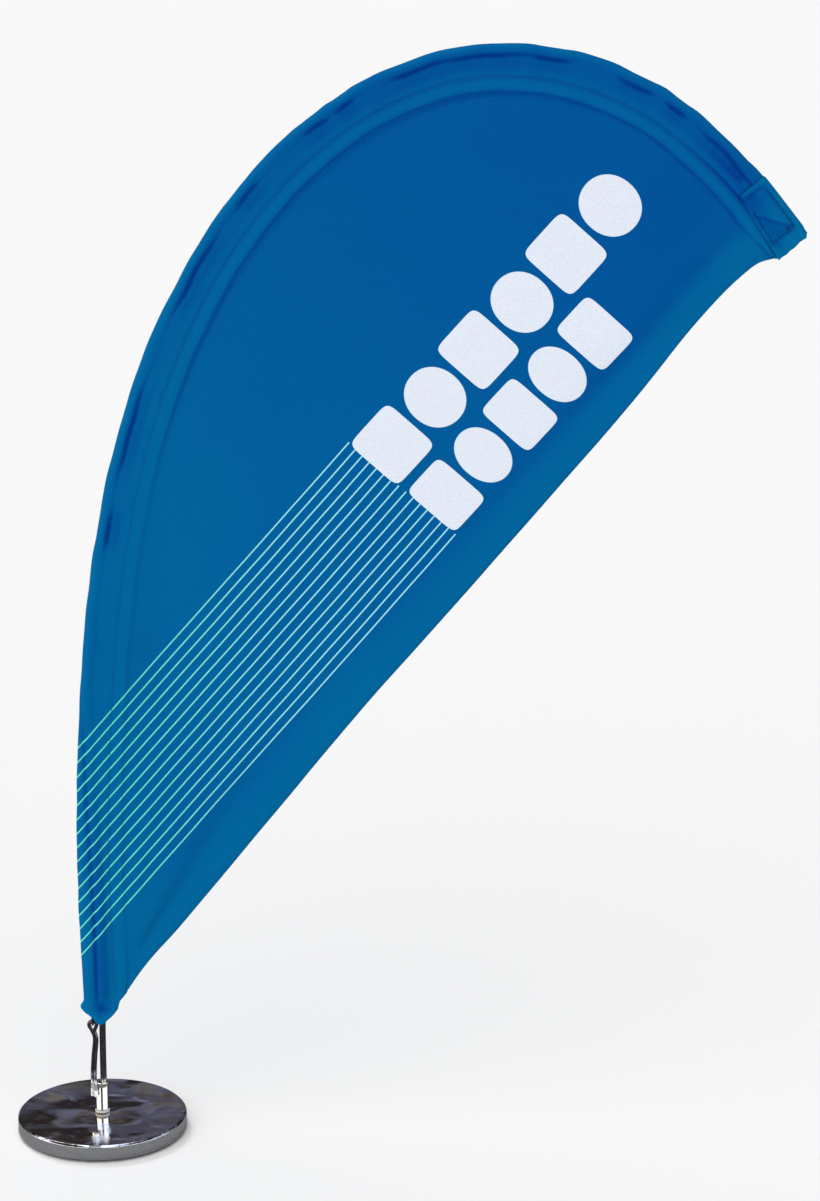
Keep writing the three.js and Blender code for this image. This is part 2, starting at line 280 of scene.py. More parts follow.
def sheet_piece(name, *grids, thickness=CLOTH, closed=False):
    """A sheet of cloth from grids on its middle surface, each a pair: points and their shade."""
    points, faces, shades = [], [], []
    for grid, shade in grids:
        faces += grid_faces(*grid.shape[:2], closed, start=sum(len(p) for p in points))
        points.append(grid.reshape(-1, 3))
        shades.append(np.broadcast_to(shade, grid.shape[:2]).ravel())
    piece = mesh_piece(name, np.vstack(points), faces, smooth_angle=pi, shade=np.concatenate(shades))
    shell = piece.modifiers.new("thickness", "SOLIDIFY")
    shell.thickness = thickness * MM
    shell.offset = 0
    apply_modifiers(piece)
    return piece


def apply_modifiers(piece):
    """The piece's mesh becomes what its modifiers make of it."""
    made = bpy.data.meshes.new_from_object(piece.evaluated_get(bpy.context.evaluated_depsgraph_get()))
    piece.modifiers.clear()
    piece.data = made


def wrapped(behind, front):
    """The two faces of folded cloth as one grid. Their first columns are the fold, which they share."""
    return np.concatenate([behind[:, ::-1], front[:, 1:]], axis=1)


def cut_away(piece, *tools):
    """Cuts tools out of a piece, and removes them."""
    for tool in tools:
        cutter = piece.modifiers.new("cut", "BOOLEAN")
        cutter.operation, cutter.solver, cutter.object = "DIFFERENCE", "EXACT", tool
    bpy.context.view_layer.update()
    apply_modifiers(piece)
    for tool in tools:
        bpy.data.objects.remove(tool)
    piece.data.set_sharp_from_angle(angle=SMOOTH_ANGLE)


def turned(name, corners, radii, segments=64):
    """A turned piece about the Z axis, from the corners (radius, z) of its profile and their roundings."""
    around = turn_round(segments)
    profile = rounded(corners, radii)
    r, z = profile.T
    rings = np.stack([
        np.outer(np.cos(around), r), np.outer(np.sin(around), r), np.broadcast_to(z, (segments, len(z))),
    ], -1)
    columns = len(profile)
    faces = [
        (a * columns + c, a * columns + (c + 1) % columns,
         ((a + 1) % segments) * columns + (c + 1) % columns, ((a + 1) % segments) * columns + c)
        for a in range(segments) for c in range(columns)
    ]
    return mesh_piece(name, rings, faces)


def rod_between(name, radius, bottom, top, sides=64, x=0.0):
    """A plain upright bar."""
    around = turn_round(sides)
    ring = np.stack([x + radius * np.cos(around), radius * np.sin(around), 0 * around], -1)
    return closed_sweep(name, np.stack([ring + (0, 0, bottom), ring + (0, 0, top)]))


def rounded(corners, radii):
    """A closed outline with its corners rounded, each by its own radius; 0 keeps a corner sharp."""
    points = []
    count = len(corners)
    for i, radius in enumerate(radii):
        corner, before, after = (np.array(corners[j % count], float) for j in (i, i - 1, i + 1))
        if radius == 0:
            points.append(corner)
            continue
        back, ahead = ((q - corner) / np.linalg.norm(q - corner) for q in (before, after))
        half = np.arccos(np.clip(back @ ahead, -1, 1)) / 2
        reach = radius / np.tan(half)
        start, end = corner + back * reach, corner + ahead * reach
        for t in np.linspace(0, 1, 7):
            points.append((1 - t) ** 2 * start + 2 * t * (1 - t) * corner + t**2 * end)
    return np.array(points)


def tube_rings(line, radius, sides, steps):
    """Rings of a bar with rounded ends along a 3-D line. radius is a function of the place on the line."""
    s = np.linspace(0, line.length, steps)
    turn = np.linspace(0, pi / 2, 6)
    cap = 0.5 * radius(s)[0]
    near = cap * (1 - np.cos(turn))
    s = np.concatenate([near, s[(s > cap) & (s < line.length - cap)], line.length - near[::-1]])
    radii = radius(s)
    radii[:6] *= 0.45 + 0.55 * np.sin(turn)
    radii[-6:] *= (0.45 + 0.55 * np.sin(turn))[::-1]
    centre, along = line.at(s), line.heading(s)
    side = np.cross(along[0], (0, 1, 0))
    around = turn_round(sides)
    rings = []
    for middle, ahead, r in zip(centre, along, radii):
        side = side - ahead * (side @ ahead)
        side /= np.linalg.norm(side)
        up = np.cross(ahead, side)
        rings.append(middle + r * (np.outer(np.cos(around), side) + np.outer(np.sin(around), up)))
    return np.array(rings)


def stitches(name, flat, ways, rise, length, radius):
    """Short rounded stitches at points (x, z), along unit ways (x, z), on both faces of the sail."""
    sides, rings = 6, 5
    around = turn_round(sides)
    run = np.linspace(-1, 1, rings)
    bulge = np.sqrt(1 - 0.92 * run**2)
    template = np.stack([
        np.repeat(run * length / 2, sides),
        (bulge[:, None] * np.cos(around) * radius).ravel(),
        (bulge[:, None] * np.sin(around) * radius + 0.12 * bulge[:, None]).ravel(),
    ], -1)
    faces = grid_faces(rings, sides, closed=True)
    faces += [tuple(range(sides)), tuple(range((rings - 1) * sides, rings * sides))]
    points, every = [], []
    for sign in (-1.0, 1.0):
        up = (0.0, sign, 0.0)
        for place, ahead in zip(standing(flat, sign * rise), standing(ways, 0.0)):
            start = len(points) * len(template)
            points.append(place + template @ np.stack([ahead, np.cross(up, ahead), up]))
            every += [tuple(start + v for v in face) for face in faces]
    return mesh_piece(name, np.array(points), every)


# ---- the base and the pole


def base_pieces():
    """The disc with its bore, the pad below it, the countersunk screw and the washer."""
    chamfer, bore, sink = 0.7, SPINDLE_RADIUS + GAP, HEAD_RADIUS + GAP
    head_bottom = DISC_BOTTOM + HEAD_RECESS
    head_top = head_bottom + HEAD_HEIGHT
    disc = turned("disc_plated", [
        (bore, head_top + GAP), (sink, head_bottom), (sink, DISC_BOTTOM), (DISC_RADIUS, DISC_BOTTOM),
        (DISC_RADIUS, DISC_TOP - chamfer), (DISC_RADIUS - chamfer, DISC_TOP), (bore, DISC_TOP),
    ], [0, 0, 0.1, 0.45, 0.2, 0.25, 0.1], segments=256)
    pad = turned("pad_rubber", [
        (0.05, 0), (PAD_RADIUS, 0), (PAD_RADIUS, PAD_HEIGHT), (0.05, PAD_HEIGHT),
    ], [0, 0.2, 0.15, 0], segments=160)
    screw = turned("screw_spindle", [
        (0.02, head_bottom), (HEAD_RADIUS, head_bottom), (SPINDLE_RADIUS, head_top),
        (SPINDLE_RADIUS, SPINDLE_TOP), (0.02, SPINDLE_TOP),
    ], [0, 0.12, 0.3, 0.4, 0])
    cut_away(screw, rod_between("hex_key", HEX_RADIUS, head_bottom - 1, head_bottom + HEX_DEPTH, sides=6))
    washer = turned("washer_moulded", [
        (WASHER_INNER, WASHER_BOTTOM), (WASHER_OUTER, WASHER_BOTTOM), (WASHER_OUTER, WASHER_TOP),
        (WASHER_INNER, WASHER_TOP),
    ], [0.1, 0.18, 0.18, 0.1])
    return disc, pad, screw, washer


def post_piece():
    post = turned("post_plated", [
        (0.02, POST_BOTTOM), (POST_RADIUS, POST_BOTTOM), (POST_RADIUS, POST_TOP), (0.02, POST_TOP),
    ], [0, 0.3, 0.45, 0], segments=96)
    cut_away(
        post,
        rod_between("spindle_bore", SPINDLE_RADIUS + GAP, POST_BOTTOM - 1, SPINDLE_BORE_TOP),
        rod_between("rod_socket", ROD_RADIUS + GAP, ROD_BOTTOM - GAP, POST_TOP + 1, x=ROD_X),
    )
    return post


def rod_piece():
    return closed_sweep("rod_spring_steel", tube_rings(rod, lambda s: ROD_RADIUS + 0 * s, 24, 330))


def cap_piece():
    end, along = rod.at(rod.length), rod.heading(rod.length)
    bottom = CAP_WALL - CAP_LENGTH
    bore = ROD_RADIUS + 0.2
    cap = turned("rod_cap_moulded", [
        (bore, bottom), (CAP_RADIUS, bottom), (CAP_RADIUS, CAP_WALL), (0.02, CAP_WALL), (0.02, GAP),
        (bore, GAP),
    ], [0.1, 0.15, 0.7, 0, 0, 0], segments=40)
    turn = Vector((0, 0, 1)).rotation_difference(Vector(along)).to_matrix().to_4x4()
    cap.data.transform(Matrix.Translation(Vector(end) * MM) @ turn)
    return cap


def hook_piece():
    """One wire bent double: two feet on the post, two strands, and the eye between them."""
    turn = pi * (1.15 - 1.3 * np.linspace(0, 1, 9))
    eye = np.stack([EYE_X + EYE_RADIUS * np.cos(turn), 0 * turn, EYE_Z + EYE_RADIUS * np.sin(turn)], -1)
    path = np.vstack([
        [(-3.35, -2.1, 14.4), (-3.35, -2.1, 17.6), (-3.45, -1.7, 20.4), (-3.5, -0.4, 22.4), (-3.45, 0.15, 25),
         (-3.0, 0.25, 31), (-2.45, 0.25, 37.6), (-3.3, 0, 40.4)],
        eye,
        [(-2.2, 0, 40.4), (-1.45, -0.6, 37.6), (-1.95, -0.65, 31), (-2.35, -0.75, 25), (-2.35, -1.5, 22.4),
         (-2.2, -2.9, 20.4), (-2, -3.2, 17.6), (-2, -3.2, 14.4)],
    ])
    line = curve(path, per_span=12)

    def radius(s):
        from_end = np.minimum(s, line.length - s)
        braze = 0.12 * smooth(from_end, 5.5, 3.5) * (1 + 0.3 * np.sin(2.3 * s))
        bent = 0.12 * bell(s - line.length / 2, 4.5, 4)
        return WIRE_RADIUS + braze + bent

    return closed_sweep("hook_bent_wire", tube_rings(line, radius, 20, 260))


def loop_piece():
    turn = pi * (1 + np.linspace(0, 1, 9))
    middle = EYE_Z + LOOP_HALF_WIDTH
    across, up = LOOP_HALF_WIDTH * np.cos(turn), LOOP_HALF_WIDTH * np.sin(turn)
    bend = np.stack([0 * turn + EYE_X, across, middle + up], -1)
    legs = [(EYE_X, LOOP_HALF_WIDTH, LOOP_TOP - 4), (EYE_X, LOOP_HALF_WIDTH, LOOP_TOP)]
    path = np.vstack([[(x, -y, z) for x, y, z in legs[::-1]], bend, legs])
    line = curve(path, per_span=12)

    def braid(s):
        return LOOP_RADIUS * (1 + 0.07 * np.sin(2 * pi * s / 0.7))

    return closed_sweep("loop_elastic", tube_rings(line, braid, 14, 240))


# ---- the sail


def crease_strength(s):
    """How hard the cloth is drawn in on the inner side of the rod, from 0 to 1."""
    pull = sum(bell(s - middle, 0.55 * length, 4) for middle, length in CREASES)
    return np.clip(pull, 0, 1)


def sleeve_creases(s, depth, back=False):
    """How deep a place on the sleeve lies in the creases beside the rod, from 0 to 1."""
    at_rod = np.interp(s, rod_s, rod_depth)
    shift = 0.45 * wobble(s, 17, 29)
    pull = crease_strength(s)
    width = 0.35 + 0.65 * pull * (1 + 0.25 * wobble(s, 3.1, 4.7))
    upper = pull * bell(depth - at_rod - 1.3 - 0.3 * width - 0.7 * shift, width, 2.6)
    lower = smooth(s, 140, 85) * bell(depth - at_rod + 2.1, 1.0)
    return (0.35 if back else 1.0) * upper + lower * (0.65 + 0.35 * smooth(s, 70, 5))


def sleeve_shade(s, depth, back=False):
    """Painted shade: 1 deep in the creases, 0 on plain cloth, and below 0 a painted highlight where the cloth
    catches the light.
    """
    at_rod = np.interp(s, rod_s, rod_depth)
    # lit is painted highlight: the band beside the fold and the band before the seam catch the light
    lit = 0.75 * smooth(depth, 2.6, 1.0) + 0.4 * smooth(depth, NEEDLE_LINE - 4.5, NEEDLE_LINE - 1.5)
    lit = lit * (0.75 + 0.25 * wobble(s, 47, 21))
    near_tip = smooth(s, TIP_START - 34, TIP_START - 8)
    # painted shade: by the pocket's opening, where the cloth is drawn in near the tip, along the needle line
    # and beside the rod
    slit_shade = near_tip * bell(depth - NEEDLE_LINE + 0.5, 0.8)
    drawn = near_tip * bell(depth - 7.2, 1.5) * smooth(s, TIP_START - 2, TIP_START - 5)
    seam_shade = 0.22 * smooth(s, 200, 300) * bell(depth - NEEDLE_LINE + 0.4, 0.5)
    faint_shade = seam_shade + 0.5 * smooth(s, 95, 35) * bell(depth - at_rod - 0.5, 3.4)
    faint_shade = faint_shade + 0.28 * crease_strength(s) * bell(depth - at_rod - 4.5, 2.2)
    dark = np.maximum(np.maximum(sleeve_creases(s, depth, back), slit_shade), np.maximum(drawn, faint_shade))
    return np.clip(shaded(dark, lit, 1.6), -1, 1)


def sleeve_height(s, depth, back=False):
    """How far one layer of the sleeve stands from the sail's plane."""
    s, depth = np.broadcast_arrays(np.asarray(s, float), np.asarray(depth, float))
    at_rod = np.interp(s, rod_s, rod_depth)
    over_rod = 1.75 * np.sqrt(np.clip(1 - ((depth - at_rod) / 2.45) ** 2, 0, 1))
    slack = 0.72 + 0.26 * wobble(s, 37, 23, 61) + 0.14 * wobble(s + 0.8 * depth, 9.3, 13.7)
    puff = 0.3 + 1.15 * slack * np.sin(pi * np.clip(depth / NEEDLE_LINE, 0, 1)) ** 0.8
    blend = 0.18
    height = 0.5 * (over_rod + puff + np.sqrt((over_rod - puff) ** 2 + blend**2))
    pucker = 0.07 * np.sin(2 * pi * s / PUCKER_PITCH + wobble(s, 31)) * bell(depth - NEEDLE_LINE + 1.2, 1.6)
    height = np.maximum(height - 0.9 * sleeve_creases(s, depth, back) + pucker, 0.27)
    height = towards(height, SEAM_HEIGHT, smooth(depth, NEEDLE_LINE - 1.4, NEEDLE_LINE - 0.1))
    return height * rounding(depth, 1.5)


def seam_sides(s):
    """The depths of the seam's needle line and of its allowance's edge, which draw together at the tip."""
    u = s - TIP_START
    needle = np.maximum(NEEDLE_LINE, tip_width(np.maximum(u, 0)) + 0.2)
    return needle, SLEEVE_WIDTH - SEAM_TAPER * smooth(u, 6, TIP_LENGTH) - 2.6 * smooth(s, 9, 0)


def sleeve_piece():
    """Cloth folded round the rod. Beside the tip pocket only its two seam sides run on."""
    s = np.linspace(0, TIP_START + 2, 440)[:, None]
    near = np.linspace(0, 1, 9) ** 1.8
    depth = np.concatenate([near, np.linspace(1.25, 12.5, 46), np.linspace(13, SLEEVE_WIDTH, 9)])[None]
    depth = depth * (1 - 0.08 * smooth(s, 6, 0))
    pulled_in = (0.35 * crease_strength(s) + 0.12 * wobble(s, 29, 17)) * smooth(depth, 4, 0)
    flat = inside(s, depth + pulled_in * smooth(s, 2, 12) * smooth(s, TIP_START - 2, TIP_START - 9))
    front = standing(flat, -sleeve_height(s, depth))
    behind = standing(flat, sleeve_height(s, depth, back=True))
    shade = wrapped(sleeve_shade(s, depth, back=True), sleeve_shade(s, depth))
    grids = [(wrapped(behind, front), shade)]
    kept = depth[-1:, depth[-1] > TIP_START_WIDTH - 1.5]
    s = np.linspace(TIP_START + 2, bowed.length - 0.8, 28)[:, None]
    low = kept[0, 0] + tip_width(s - TIP_START) - tip_width(2)
    high = seam_sides(s)[1]
    run_on = low + (kept - kept[0, 0]) / (kept[0, -1] - kept[0, 0]) * (high - low)
    for sign, back in ((-1, False), (1, True)):
        fade = smooth(s, TIP_START + 2, TIP_START + 6)
        height = towards(sleeve_height(s, run_on, back), SEAM_HEIGHT, fade)
        height[0] = sleeve_height(s[0], kept[0], back)
        # painted highlight on the run-on strips, growing towards the tip
        grids.append((standing(inside(s, run_on), sign * height), -0.4 * fade))
    return sheet_piece("sleeve_cloth", *grids)


def fold(x, z, start, end, narrow, wide, height):
    """A soft ridge that starts at an anchor and spreads and fades towards its end."""
    start, end = np.array(start, float), np.array(end, float)
    run = end - start
    length = np.linalg.norm(run)
    run /= length
    t = ((x - start[0]) * run[0] + (z - start[1]) * run[1]) / length
    aside = -(x - start[0]) * run[1] + (z - start[1]) * run[0]
    width = towards(narrow, wide, np.clip(t, 0, 1))
    return height * smooth(t, -0.02, 0.12) * smooth(t, 1.1, 0.45) * bell(aside, width)


def panel_height(x, z, from_seam, from_free):
    """How far the panel stands forward of the sail's plane, by its tension folds and its slack."""
    height = sum(fold(x, z, *sizes) for sizes in FOLDS)
    slack = 0.55 * np.sin(x / 31 + z / 47 + 0.6) + 0.35 * np.sin(x / 17 - z / 23)
    slack = slack + 0.16 * np.sin(x / 9.5 + z / 7.1)
    rolled = 1.3 * smooth(from_free, 15, 0) - 0.45 * bell(from_free - 16, 5.5)
    height = height + rolled * (0.25 + 0.75 * smooth(x, 110, 200))
    curl = 0.55 * smooth(from_free, 7, 0) - 0.5 * smooth(from_free, 2.2, 0)
    pull = 0.06 * np.sin(2 * pi * (x + z) / 6.1) * smooth(from_seam, 14, 4)
    return (height + slack + curl) * smooth(from_seam, 3, 22) + pull


def panel_shade(x, z, s, from_seam, from_free):
    """Painted shade as on the sleeve: a painted shadow along the seam, in the valley and below the tip, and a
    painted highlight on the roll along the free edge.
    """
    seam_edge_shade = 0.6 * smooth(s, 170, 290) * bell(from_seam - 4.3, 0.8)
    upper = smooth(x, 100, 190)
    valley = (0.08 + 0.08 * upper) * bell(from_free - 18, 5) * smooth(x, 12, 40)
    lit = (0.14 + 0.12 * upper) * smooth(from_free, 17, 6)
    below_tip_shade = 0.25 * bell(x - 240, 9) * bell(z - 343, 7)
    return np.clip(seam_edge_shade + valley - lit - below_tip_shade, -1, 1)


def panel_piece():
    """A ruled sheet between a line inside the sleeve and the free edge."""
    rows, columns = 360, 96
    share = np.linspace(0, 1, rows)
    inner = inside(share * bowed.length, 14 - 1.6 * smooth(share, 0.94, 1))
    outer = free.at((1 - share) * free.length)
    across = np.linspace(0, 1, columns)
    flat = towards(inner[:, None], outer[:, None], across[None, :, None])
    width = np.linalg.norm(outer - inner, axis=1)[:, None]
    from_edges = across * width, (1 - across) * width
    height = panel_height(flat[..., 0], flat[..., 1], *from_edges)
    shade = panel_shade(flat[..., 0], flat[..., 1], share[:, None] * bowed.length, *from_edges)
    return sheet_piece("panel_cloth", (standing(flat, -height), shade), thickness=0.25)


def seam_ridge_piece():
    """The seam allowance, turned under and sewn down on the printed face."""
    s = np.linspace(1.2, bowed.length - 2.5, 430)[:, None]
    top = np.linspace(0, 1, 22)[None]
    under = np.linspace(1, 0, 7)[None, 1:-1]
    needle, edge = seam_sides(s)
    swell = 1 + 0.1 * wobble(s, 14, 33) + 0.05 * np.sin(2 * pi * s / PUCKER_PITCH)
    falls = smooth(top, 1, 0.78)
    rise = (0.3 + 0.7 * smooth(s, 10, 110)) * smooth(s, 0.5, 8)
    arch = (0.2 + 0.4 * smooth(s, 170, 290)) * np.sin(pi * np.clip(top / 0.92, 0, 1)) ** 0.6 * swell
    crown = 0.16 + rise * (0.5 + arch) * falls
    flat_side = np.broadcast_to(0.1 + 0.48 * (under < 0.85), (len(s), under.shape[1]))
    t = np.concatenate([top, under], axis=1)
    depth = needle + 0.1 + t * (edge - needle + 0.7) + 0.15 * wobble(s, 41, 19) * t
    rings = standing(inside(s, depth), -np.concatenate([crown, flat_side], axis=1))
    # painted highlight along the ridge's crown, and painted shade along the edge where it drops to the panel
    lit = (0.3 + 0.25 * smooth(s, 200, 300)) * np.sin(pi * np.clip(t / 0.85, 0, 1))
    edge_shade = 0.7 * smooth(s, 170, 290) * smooth(s, TIP_START + 18, TIP_START + 4)
    shade = edge_shade * smooth(t, 0.75, 0.95) - lit * (1 - 0.5 * smooth(t, 0.7, 0.9))
    return closed_sweep("seam_allowance", rings, smooth_angle=radians(70), shade=shade)


def seam_stitch_piece():
    s = np.arange(1.5, bowed.length - 4, STITCH_PITCH)
    flat = inside(s, seam_sides(s)[0] + 0.05 * np.sin(s * 1.7))
    return stitches("seam_thread", flat, bowed.heading(s), SEAM_HEIGHT + CLOTH / 2, length=0.95, radius=0.16)


def tip_width(u):
    return TIP_START_WIDTH + (TIP_END_WIDTH - TIP_START_WIDTH) * u / TIP_LENGTH


def tip_lines(u, depth):
    """How near a place on the pocket is to one of the four lines of its box of stitches, from 0 to 1."""
    inner = tip_width(u) - BOX_INSET
    return (
        bell(depth - BOX_OUTER, 0.4) * smooth(u, 2, 5) * smooth(u, 22, 21)
        + bell(depth - inner, 0.5) * smooth(u, 7, 9) * smooth(u, 23, 21)
        + bell(u - BOX_START - 0.1 * depth, 0.35) * smooth(depth, 3, 5)
        + bell(u - BOX_END, 0.5) * smooth(depth, 2, 3) * smooth(depth, inner + 0.5, inner - 0.5)
    )


def tip_bulge_edge(u, depth):
    """How far below the slanting foot of the pocket's bulge a place is, across the box of stitches."""
    return 0.59 * (u - 8.5) + 0.81 * (depth - 11.0) + 0.35 * wobble(u * 2.1 - depth, 5.3, 3.7)


def tip_shade(u, depth):
    """Painted shade, as on the sleeve: below the pocket's bulge, in its corner and opening and along its
    stitches, with painted highlight on its rims.
    """
    below = tip_bulge_edge(u, depth)
    wedge_shade = smooth(below, -0.5, 0.4) * smooth(u, 21.5, 20) * smooth(depth, 11.8, 10.8)
    wedge_shade = wedge_shade * (0.4 + 0.4 * bell(below, 1.4))
    corner = 0.55 * bell(u - 23, 2.2) * bell(depth - 10.6, 1.6)
    start = 0.45 * smooth(u, 2.4, 3.6) * smooth(u, 13, 4) * smooth(depth, 4, 8)
    slit_shade = bell(depth - tip_width(u) + 0.4, 0.6) * smooth(u, 4.5, 2.5)
    dark = np.maximum(np.maximum(wedge_shade, corner), np.maximum(start, slit_shade))
    dark = np.maximum(dark, 0.55 * tip_lines(u, depth))
    # lit is painted highlight on the pocket's rims and its bulge
    lit = 0.8 * smooth(depth, 3, 1.5) + 0.8 * smooth(u, 22, 24) + 0.5 * smooth(u, 1.8, 0.6)
    lit = lit + 0.6 * bell(u - 17, 4) * bell(depth - 5, 2)
    return np.clip(shaded(dark, lit, 1.4), -1, 1)


def tip_height(u, v):
    """The pocket's front, from its start (u = 0) to the tip, and from the fold (v = 0) to its inner side."""
    depth, width = v * tip_width(u), tip_width(u)
    at_rod = np.interp(TIP_START + u, rod_s, rod_depth)
    over_rod = 2.4 * np.sqrt(np.clip(1 - ((depth - at_rod) / 4.2) ** 2, 0, 1)) * smooth(u, 22, 19)
    bulge = 1.15 + 0.9 * smooth(tip_bulge_edge(u, depth), 0.3, -3) * smooth(u, 1, 6)
    field = bulge + 0.16 * wobble(u * 3 + depth * 2, 11, 7) + 0.12 * wobble(depth * 3 - u, 9, 5)
    height = np.maximum(over_rod, field)
    rim = 1.7 + 0.15 * wobble(u + depth, 4.1, 6.7)
    start, end, outer = smooth(u, 2.4, 1.2), smooth(u, 21.8, 22.8), smooth(depth, 2.5, 1.7)
    height = towards(height, rim, np.maximum(end, outer))
    height = towards(height, np.maximum(height, rim + 0.25), start)
    height = np.maximum(height - 0.7 * tip_lines(u, depth), 0.5)
    fold_in = rounding(depth, 1.4)
    close = rounding(width - depth, 0.9)
    tail = rounding(TIP_LENGTH - u, 1.0)
    return height * fold_in * (0.35 + 0.65 * close) * (0.2 + 0.8 * tail)


def tip_piece():
    u = np.concatenate([np.linspace(0, 24, 60), np.linspace(24.4, TIP_LENGTH, 14)])[:, None]
    v = np.concatenate([np.linspace(0, 1, 8) ** 1.6 * 0.09, np.linspace(0.11, 1, 50)])[None]
    ragged = 0.14 * wobble(u, 3.1, 5.3) * smooth(v, 0.8, 1)
    proud = 0.4 * (1 - v) * smooth(u, 0, 0.8) * smooth(u, 27, 23)
    depth = v * tip_width(u) + ragged - proud
    worn = 1.3 * smooth(v, 0.12, 0) + 0.5 * bell(v - 0.3, 0.08) + 0.2 * wobble(v * 13, 5, 3)
    flat = inside(TIP_START + u - worn * smooth(u, 21, TIP_LENGTH), depth)
    grid = wrapped(standing(flat, tip_height(u, v)), standing(flat, -tip_height(u, v)))
    shade = tip_shade(u, depth)
    return sheet_piece("tip_pocket_cloth", (grid, wrapped(shade, shade)), thickness=0.35)


def tip_stitch_piece():
    """The box of hand-guided stitches that fastens the pocket, seen on both faces."""
    runs = []
    for u in np.arange(3.0, 21.4, THREAD_STEP):
        runs.append((u, BOX_OUTER + 0.12 * sin(1.9 * u), (1, 0.2 * cos(1.9 * u))))
    for u in np.arange(8.5, 22.0, THREAD_STEP):
        runs.append((u + 0.1, tip_width(u) - BOX_INSET + 0.35 * sin(2.4 * u), (1, 0.4 * cos(2.4 * u))))
    for depth in np.arange(3.2, TIP_START_WIDTH - 0.8, THREAD_STEP):
        runs.append((BOX_START + 0.1 * depth + 0.15 * sin(3.1 * depth), depth, (0.1, 1)))
    for depth in np.arange(3.4, TIP_END_WIDTH - 2.2, THREAD_STEP):
        runs.append((BOX_END + 0.35 * sin(2.9 * depth), depth, (0.4 * cos(2.9 * depth), 1)))
    u, depth = np.array([(a, b) for a, b, _ in runs]).T
    s = TIP_START + u
    along = bowed.heading(s)
    inward = np.stack([along[:, 1], -along[:, 0]], -1)
    ways = np.array([way for _, _, way in runs], float)
    ways /= np.linalg.norm(ways, axis=1, keepdims=True)
    flat_ways = along * ways[:, :1] + inward * ways[:, 1:]
    rise = tip_height(u, depth / tip_width(u)) + 0.17
    return stitches("tip_thread", inside(s, depth), flat_ways, rise, length=1.0, radius=0.17)


def tab_sides(t):
    """The tab's two side edges, from its top (t = 0) to its wings (t = 1)."""
    left = curve([
        (TAB_LEFT, TAB_TOP), (-5.95, 56.2), (-6, 54.7), (-6.1, 52.8), (-7.1, 51.2), (-7.3, 50.2),
    ])
    right = curve([
        (TAB_RIGHT, TAB_TOP), (10.4, 56.2), (9.3, 54.7), (7.7, 52.6), (7.1, 50.6), (6.9, 49.6),
    ])
    return left.at(t * left.length), right.at(t * right.length)


def tab_ends(c):
    """The tab's top line and its V-shaped lower border, from left (c = 0) to right (c = 1)."""
    top = np.stack([towards(TAB_LEFT, TAB_RIGHT, c), 0 * c + TAB_TOP], -1)
    border = curve([
        (-7.3, 50.2), (-6.4, 49.5), (-3.4, 47.2), (-1.4, 45), (0.1, 43.9), (1.6, 44.5), (3.6, 46.2),
        (5.4, 48), (6.9, 49.6),
    ])
    return top, border.at(c * border.length)


def on_sleeve(x, z):
    """The place on the sleeve that the tab's upper part covers, as (s, depth)."""
    return np.maximum(z - SLEEVE_BOTTOM, 0), np.clip(x - BOWED_EDGE[0][0], 0, SLEEVE_WIDTH)


def tab_height(x, z, t, c):
    """How far the tab's front stands from the sail's plane."""
    at_top = sleeve_height(*on_sleeve(x, z))
    full = 2.05 + 0.3 * bell(x - 0.9, 2.6)
    dimple = 0.85 * bell(x - 0.9, 1.3) * bell(z - 49.8, 1.9)
    valley = 0.5 * bell(x + 0.6, 0.9) * smooth(z, 48, 52)
    crinkle = 0.16 * np.sin(1.9 * x + 0.8 * z) * np.sin(1.3 * z - 0.6 * x)
    hem = 0.4 * smooth(t, 0.83, 0.9)
    height = full - dimple - valley + crinkle + hem
    height = at_top - 0.35 * smooth(z, 56.2, TAB_TOP) + (height - at_top) * smooth(t, 0.12, 0.6)
    sides = np.sqrt(1 - (2 * c - 1) ** 2 + 1e-6)
    return height * (1 - (1 - np.clip(1.35 * sides, 0, 1)) * smooth(t, 0, 0.3)) * np.clip(3.2 * sides, 0, 1)


def tab_piece():
    """The tab's front and back are one folded piece, open at its lower border for the rod and the hook."""
    t, c = np.linspace(0, 1, 44)[:, None], np.linspace(0, 1, 64)[None]
    (left, right), (top, border) = tab_sides(t[:, 0]), tab_ends(c[0])
    tt, cc = t[..., None], c[..., None]
    corners = towards(towards(top[0], top[-1], cc), towards(border[0], border[-1], cc), tt)
    flat = towards(top, border, tt) + towards(left[:, None], right[:, None], cc) - corners
    x, z = flat[..., 0], flat[..., 1]
    height = tab_height(x, z, t, c)
    front, behind = standing(flat, -height), standing(flat, height)
    ring = np.concatenate([front, behind[:, -2:0:-1]], axis=1)
    # painted shade in the dimple and the valley above the V, painted highlight on the hem and the wings; near
    # the top it blends into the sleeve's painted shade, and the back gets 0.4 of it
    dark = 0.3 * bell(x - 0.5, 4) * smooth(z, 47, 51) + 0.6 * bell(x - 0.9, 2.2) * bell(z - 50.2, 2.6)
    dark = np.maximum(dark, 0.7 * bell(x + 0.5, 1.0) * smooth(z, 49, 52))
    lit = 0.8 * smooth(t, 0.78, 0.9) + 0.7 * smooth(x, -2.5, -4.5) + 0.4 * smooth(x, 4.5, 6.5)
    shade = towards(shaded(dark, lit, 1.5), sleeve_shade(*on_sleeve(x, z)), smooth(z, 52.5, 55.8))
    shades = np.concatenate([shade, 0.4 * shade[:, -2:0:-1]], axis=1)
    return sheet_piece("corner_tab_cloth", (ring, shades), closed=True)


def tab_stitch_piece():
    """A row of stitches along the tab's hem, on both faces."""
    first, last, count = 0.06, 0.94, 20
    line = Line(tab_ends(np.linspace(first, last, 22))[1] + (0, STITCH_PITCH))
    s = np.linspace(0, line.length, count)
    flat = line.at(s)
    rise = tab_height(flat[:, 0], flat[:, 1], 0.82, np.linspace(first, last, count)) + 0.18
    return stitches("tab_thread", flat, line.heading(s), rise, length=0.85, radius=0.15)


# ---- node graphs


